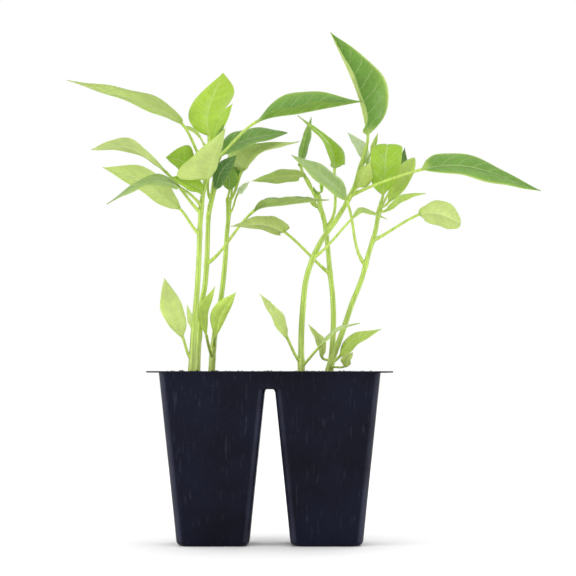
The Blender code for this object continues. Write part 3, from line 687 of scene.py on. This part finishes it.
def make_soil(word, material, rng):
    """The root ball's CAD shape, remeshed and roughened, with crumbs on top."""
    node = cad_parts["root_ball_" + word]
    soil = new_piece("soil_" + word, node.data.copy(), ())
    soil.data.materials.clear()
    remesh = soil.modifiers.new("grain", 'REMESH')
    remesh.mode = 'VOXEL'
    remesh.voxel_size = GRAIN
    apply_modifiers(soil)
    bm = bmesh.new()
    bm.from_mesh(soil.data)
    bm.normal_update()
    towards_neighbour = 1 if word == "left" else -1
    colours = {}
    for vertex in bm.verts:
        lumps = noise.fractal(vertex.co * LUMP_SCALE, 0.9, 2.1, 4)
        if vertex.co.z > SOIL_TOP - TOP_LAYER and vertex.normal.z > 0.5:
            vertex.co.z += LUMP_HEIGHT * lumps
        elif vertex.normal.x * towards_neighbour > 0.5 and vertex.co.z > WEB_UNDERSIDE:
            vertex.co.x += towards_neighbour * (JOIN_BULGE + LUMP_HEIGHT * abs(lumps))
        else:
            vertex.co -= vertex.normal * (WALL_GAP + WALL_ROUGHNESS * abs(lumps))
    low, high = (Vector(corner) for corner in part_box("root_ball_" + word))
    join = high.x if word == "left" else low.x
    surface = [vertex.co.copy() for vertex in bm.verts if vertex.co.z > SOIL_TOP - CRUMB_LAYER]
    beside_join = [place for place in surface if abs(place.x - join) < JOIN_REACH]
    for i in range(LOOSE_CRUMBS + JOIN_CRUMBS):
        centre = rng.choice(surface if i < LOOSE_CRUMBS else beside_join) - Vector((0, 0, CRUMB_SINK))
        size = rng.uniform(*CRUMB_SIZES)
        white = rng.random() < WHITE_SHARE
        colour = PERLITE if white else rng.choice(BARKS)
        # Known fault: a new crumb makes the earlier keys stale, so only the last crumb shows its own colour
        for vertex in add_crumb(bm, centre, size, i):
            colours[vertex] = colour
    bm.verts.index_update()
    painted = [colours.get(vertex, PEAT) for vertex in bm.verts]
    for face in bm.faces:
        face.smooth = True
    bm.to_mesh(soil.data)
    bm.free()
    paint(soil.data, painted)
    soil.data.materials.append(material)
    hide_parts("root_ball_" + word)
    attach(soil, "root")


# The plants

def root_of(seedling):
    x, y = seedling.root
    return Vector((PACK_MIDDLE.x + seedling.cell * CELL_PITCH / 2 + x * MM, PACK_MIDDLE.y + y * MM, SOIL_TOP))


def smooth_path(points, steps, first_way=None):
    """Points along one smooth curve through the given ones. steps is how many fall in each span."""
    chords = [(b - a).length for a, b in zip(points, points[1:])]
    ways = [first_way or (points[1] - points[0]) / chords[0]]
    for i in range(1, len(points) - 1):
        ways.append((points[i + 1] - points[i - 1]) / (chords[i] + chords[i - 1]))
    ways.append((points[-1] - points[-2]) / chords[-1])
    path = [points[0]]
    for i, count in enumerate(steps):
        for step in range(1, count + 1):
            t = step / count
            start = points[i] * (2 * t**3 - 3 * t**2 + 1)
            end = points[i + 1] * (3 * t**2 - 2 * t**3)
            bend_out = ways[i] * chords[i] * (t**3 - 2 * t**2 + t)
            bend_in = ways[i + 1] * chords[i] * (t**3 - t**2)
            path.append(start + end + bend_out + bend_in)
    return path


def tangents_of(path):
    tangents = [(path[1] - path[0]).normalized()]
    for before, after in zip(path, path[2:]):
        tangents.append((after - before).normalized())
    tangents.append((path[-1] - path[-2]).normalized())
    return tangents


def carried_sides(tangents, start, side):
    """The side direction at every point of a path, carried from its value at start without twisting."""
    sides = {start: (side - tangents[start] * side.dot(tangents[start])).normalized()}
    for i in range(start + 1, len(tangents)):
        sides[i] = tangents[i - 1].rotation_difference(tangents[i]) @ sides[i - 1]
    for i in range(start - 1, -1, -1):
        sides[i] = tangents[i + 1].rotation_difference(tangents[i]) @ sides[i + 1]
    return [sides[i] for i in range(len(tangents))]


def ease(share):
    """Goes smoothly from 0 to 1 as share does."""
    share = min(1.0, max(0.0, share))
    return share * share * (3 - 2 * share)


def blend_colours(first, second, share):
    return tuple(a + (b - a) * share for a, b in zip(first, second))


def stem_path(seedling, steps=2):
    root = root_of(seedling)
    points = [root] + [root + Vector(bend) * MM for bend in seedling.bends]
    return smooth_path(points, [steps] * (len(points) - 1))


def stem_radius(share):
    return STEM_RADIUS + (STEM_TOP_RADIUS - STEM_RADIUS) * share


def point_on_stem(seedling, height):
    path = stem_path(seedling)
    level = SOIL_TOP + height * MM
    for low, high in zip(path, path[1:]):
        if low.z <= level <= high.z:
            share = (level - low.z) / (high.z - low.z)
            return low.lerp(high, share), (high - low).normalized()
    raise ValueError(f"no stem at {height} mm")


def make_stem(key, seedling, material):
    """A ribbed stem that swells a little at each leaf and at the soil."""
    path = stem_path(seedling, 8)
    foot = path[0] - Vector((0, 0, SOCKET_DEPTH))
    path = [foot, foot.lerp(path[0], 0.5)] + path
    tip_way = (path[-1] - path[-2]).normalized()
    radius = stem_radius(1.0)
    path += [path[-1] + tip_way * radius * rise for rise in (0.35, 0.6, 0.72)]
    tangents = tangents_of(path)
    sides = carried_sides(tangents, 0, Vector((1, 0, 0)))
    joints = [SOIL_TOP + leaf.height * MM for leaf in seedling.leaves if leaf.height is not None]
    cap = {len(path) - 3: 0.92, len(path) - 2: 0.7, len(path) - 1: 0.3}
    rings, colours = [], []
    for i, centre in enumerate(path):
        share = min(1.0, max(0, i - 2) / (len(path) - 6))
        swelling = 1 + 0.16 * sum(math.exp(-((centre.z - joint) / (2.2 * MM))**2) for joint in joints[:6])
        swelling += 0.18 * math.exp(-((centre.z - SOIL_TOP) / (7 * MM))**2)
        radius = stem_radius(share) * min(1.35, swelling) * cap.get(i, 1.0)
        up = sides[i].cross(tangents[i])
        ring = []
        for j in range(STEM_SIDES):
            angle = math.tau * j / STEM_SIDES
            rib = 1 + 0.06 * math.cos(5 * angle + share * 2.5)
            ring.append(centre + (up * math.sin(angle) - sides[i] * math.cos(angle)) * radius * rib)
            foot_share = 1 - ease((centre.z - SOIL_TOP) / (30 * MM))
            colour = blend_colours(PALETTE["stem"], PALETTE["stem_foot"], foot_share)
            # Painted shade: the grooves between the ribs are painted darker
            colours.append(blend_colours(colour, PALETTE["stem_groove_shade"], 0.6 * ease((1 - rib) / 0.06)))
        rings.append(ring)
    stem = loft("stalk_" + key, rings)
    paint(stem.data, colours)
    stem.data.materials.append(material)
    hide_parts("stem_" + key)
    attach(stem, "root")


def blade_width(share, widest, fall):
    """Share of the full width at a share of a blade's length: egg-shaped, with a drawn-out tip."""
    if share <= 0 or share >= 1:
        return 0.0
    rise = fall * widest / (1 - widest)
    return (share / widest)**rise * ((1 - share) / (1 - widest))**fall


# Leaves with a rounder or more drawn-out end than the rest: how steeply they narrow to the tip
TIP_FALL = {"f_spoon": 0.55, "f_back": 0.7, "f_block": 0.8, "a_arrow": 1.5, "b_dark": 0.75}


def vein_rise(share, across):
    """How far the leaf swells between its side veins, from 0 on a vein to 1 midway between two."""
    phase = share * SIDE_VEINS - across * VEIN_SWEEP
    return math.cos(math.pi * (phase % 1.0 - 0.5) * 2) * -0.5 + 0.5


def blade_section(centre, tangent, halves, share, rib, wave_phase, waviness):
    """Ring of points round a blade: over the top from the left margin to the right, and back underneath."""
    ups = (tangent.cross(halves[0]).normalized(), halves[1].cross(tangent).normalized())
    middle_up = (ups[0] + ups[1]).normalized()
    top, under = [], []
    for j in range(2 * COLUMNS + 1):
        side = 0 if j < COLUMNS else 1
        across = abs(j - COLUMNS) / COLUMNS
        half = halves[side]
        reach = half.length
        up = ups[side].lerp(middle_up, max(0.0, 1 - across * 3)).normalized()
        bow = reach * 0.10 * math.sin(math.pi * across * 0.9)
        ripple = reach * waviness * across**2 * math.sin(wave_phase + share * 15 + side * 1.9)
        pillow = 0.22 * MM * vein_rise(share, across) * math.sin(math.pi * min(1.0, across * 1.05))
        pillow *= min(1.0, reach / (8 * MM))
        point = centre + half * across + up * (bow + ripple + pillow)
        margin_taper = 1 - 0.75 * across**4
        ridge = math.exp(-(across * reach / (rib * 1.1))**2)
        round_top = rib * ridge * (1 - ease(share / 0.10))
        groove = rib * 0.35 * ridge * ease(share / 0.10)
        thick = BLADE_THICKNESS / 2 * margin_taper
        top.append(point + up * (thick + round_top - groove))
        under.append(point - up * (thick + rib * ridge * 0.9))
    edge_left, edge_right = (top[0] + under[0]) / 2, (top[-1] + under[-1]) / 2
    return [edge_left] + top[1:-1] + [edge_right] + under[-2:0:-1]


def petiole_section(centre, up, side, radius):
    ring = []
    for j in range(4 * COLUMNS):
        angle = math.tau * j / (4 * COLUMNS)
        groove = 1 - 0.14 * max(0.0, math.sin(angle))**6
        ring.append(centre + (up * math.sin(angle) * groove - side * math.cos(angle)) * radius)
    return ring


def make_leaf(key, seedling, leaf, materials, rng):
    """A leaf: its petiole grows out of the stem, flattens and opens into a veined blade."""
    neck, belly, tip = (Vector(point) * MM for point in (leaf.neck, leaf.belly, leaf.tip))
    left, right = Vector(leaf.left) * MM, Vector(leaf.right) * MM
    if leaf.height is None:
        path = stem_path(seedling)
        middle, way = path[-1], (path[-1] - path[-2]).normalized()
    else:
        middle, along = point_on_stem(seedling, leaf.height)
        outward = (neck - along * neck.dot(along)).normalized()
        way = (outward + Vector((0, 0, 0.7))).normalized()
    petiole_steps = 10
    path = smooth_path([middle, middle + neck, middle + belly, middle + tip], (petiole_steps, 16, 18), way)
    tangents = tangents_of(path)
    sides = carried_sides(tangents, petiole_steps, right - left)
    blade = path[petiole_steps:]
    lengths = [0.0]
    for a, b in zip(blade, blade[1:]):
        lengths.append(lengths[-1] + (b - a).length)
    wave_phase = rng.uniform(0, math.tau)
    waviness = 0.05 + (0.05 if leaf.name.endswith(("wavy", "low")) else 0.0)
    upper, under, stem = PALETTE[leaf.upper], PALETTE[leaf.under], PALETTE["stem"]
    small = min(1.0, lengths[-1] / (30 * MM))
    petiole_radius = PETIOLE_RADIUS * (0.55 + 0.45 * small)
    fall = TIP_FALL.get(f"{key}_{leaf.name}", 1.15)
    rings, colours, blade_places = [], [], []
    for i, centre in enumerate(path):
        if i < petiole_steps:
            flare = 1 + 0.5 * (1 - ease(i / 3)) + 0.1 * (1 - i / petiole_steps)
            up = sides[i].cross(tangents[i])
            rings.append(petiole_section(centre, up, sides[i], petiole_radius * flare))
            colours += [stem] * (4 * COLUMNS)
            blade_places += [(0.0, 0.5)] * (4 * COLUMNS)
            continue
        share = lengths[i - petiole_steps] / lengths[-1]
        widths = [blade_width(share, place, fall) for place in leaf.widest]
        opened = ease(share / 0.12)
        rib = petiole_radius * (1 - 0.8 * share**0.7)
        halves = []
        for vector, sign, width in ((left, -1, widths[0]), (right, 1, widths[1])):
            direction = (sides[i] * sign).lerp(vector.normalized(), opened)
            direction = (direction - tangents[i] * direction.dot(tangents[i]) * (1 - opened)).normalized()
            halves.append(direction * max(vector.length * width, rib))
        rings.append(blade_section(centre, tangents[i], halves, share, rib, wave_phase, waviness))
        for j in range(4 * COLUMNS):
            across = abs(j - COLUMNS) / COLUMNS if j <= 2 * COLUMNS else abs(3 * COLUMNS - j) / COLUMNS
            face = upper if 0 < j < 2 * COLUMNS else under
            face = blend_colours(face, PALETTE["bright"], 0.35 * across**6)
            face = blend_colours(stem, face, ease(share / 0.10 + across * 0.5 * opened))
            colours.append(face)
            signed = across if (COLUMNS <= j <= 3 * COLUMNS) else -across
            blade_places.append((share, 0.5 + 0.5 * signed))
    bm = bmesh.new()
    uv = bm.loops.layers.uv.new("UVMap")
    walls = stitch(bm, rings)
    for row, wall in enumerate(walls):
        for j, face in enumerate(wall):
            face.material_index = 2 if row < petiole_steps else (0 if j < 2 * COLUMNS else 1)
    bm.verts.index_update()
    for face in bm.faces:
        for loop in face.loops:
            loop[uv].uv = blade_places[loop.vert.index]
    finish_faces(bm)
    name = f"blade_{key}_{leaf.name}"
    mesh = bpy.data.meshes.new(name)
    bm.to_mesh(mesh)
    bm.free()
    mesh.set_sharp_from_angle(angle=math.radians(60))
    paint(mesh, colours)
    piece = new_piece(name, mesh, materials)
    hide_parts(f"leaf_{key}_{leaf.name}")
    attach(piece, "root")


# The studio

def plain_material(name, colour, roughness):
    material, shader = new_material(name)
    shader.inputs["Base Color"].default_value = (*colour, 1.0)
    shader.inputs["Roughness"].default_value = roughness
    shader.inputs["Specular IOR Level"].default_value = 0.1
    return material


def make_floor():
    mesh = bpy.data.meshes.new("floor")
    reach = FLOOR_REACH
    corners = [(-reach, -reach, 0), (reach, -reach, 0), (reach, reach, 0), (-reach, reach, 0)]
    mesh.from_pydata(corners, [], [(0, 1, 2, 3)])
    floor = new_piece("floor", mesh, (plain_material("pale_floor", (0.93, 0.93, 0.93), 0.9),))
    floor.location.z = PACK_LOW.z - FLOOR_GAP


def add_softbox(name, place, aim, size_x, size_y, power):
    light = bpy.data.lights.new(name, 'AREA')
    light.shape = 'RECTANGLE'
    light.size = size_x
    light.size_y = size_y
    light.energy = power
    obj = bpy.data.objects.new(name, light)
    obj.location = place
    obj.rotation_euler = (Vector(aim) - Vector(place)).to_track_quat('-Z', 'Y').to_euler()
    bpy.context.scene.collection.objects.link(obj)


def light_studio():
    world = bpy.data.worlds.new("studio")
    world.use_nodes = True
    background = world.node_tree.nodes["Background"]
    background.inputs["Color"].default_value = (1.0, 1.0, 1.0, 1.0)
    background.inputs["Strength"].default_value = 1.0
    bpy.context.scene.world = world
    aim = (PACK_MIDDLE.x, PACK_MIDDLE.y, AIM_HEIGHT)
    add_softbox("key", (-0.55, -0.75, 0.75), aim, 0.5, 0.5, 0.8)
    add_softbox("left_strip", (-0.70, -0.42, 0.06), aim, 0.16, 0.45, 2.5)
    add_softbox("right_strip", (0.72, -0.38, 0.06), aim, 0.10, 0.45, 1.8)
    add_softbox("back", (0.2, 0.9, 0.6), aim, 0.8, 0.5, 2.0)
    overhead = bpy.data.lights.new("overhead", 'SUN')
    overhead.energy = 0.45
    overhead.angle = math.radians(70)
    obj = bpy.data.objects.new("overhead", overhead)
    obj.rotation_euler = (math.radians(12), math.radians(-8), 0)
    bpy.context.scene.collection.objects.link(obj)


def add_camera():
    """Level with the rim and tipped up a little, from 1.2 m in front of the pack."""
    camera = bpy.data.cameras.new("camera")
    camera.lens = LENS
    camera.sensor_width = 36.0
    obj = bpy.data.objects.new("camera", camera)
    front = PACK_MIDDLE.y - CELL_MOUTH / 2
    obj.location = (PACK_MIDDLE.x + CAMERA_SHIFT, front - CAMERA_DISTANCE, PACK_HIGH.z)
    obj.rotation_euler = (math.radians(90 + CAMERA_TILT), 0, 0)
    bpy.context.scene.collection.objects.link(obj)
    bpy.context.scene.camera = obj


def main():
    rng = random.Random(11)
    make_pack()
    soil = soil_material()
    for word in ("left", "right"):
        make_soil(word, soil, rng)
    stem_skin = stem_material()
    leaf_skins = (
        leaf_material("leaf_upper_side", roughness=0.36, vein_lift=-0.8, vein_light=0.50, see_through=0.28),
        leaf_material("leaf_under_side", roughness=0.55, vein_lift=1.0, vein_light=0.60, see_through=0.34),
        stem_skin,
    )
    for key, seedling in SEEDLINGS.items():
        make_stem(key, seedling, stem_skin)
        for leaf in seedling.leaves:
            make_leaf(key, seedling, leaf, leaf_skins, rng)
    make_floor()
    light_studio()
    add_camera()
    bpy.context.scene.view_settings.view_transform = 'Standard'


main()
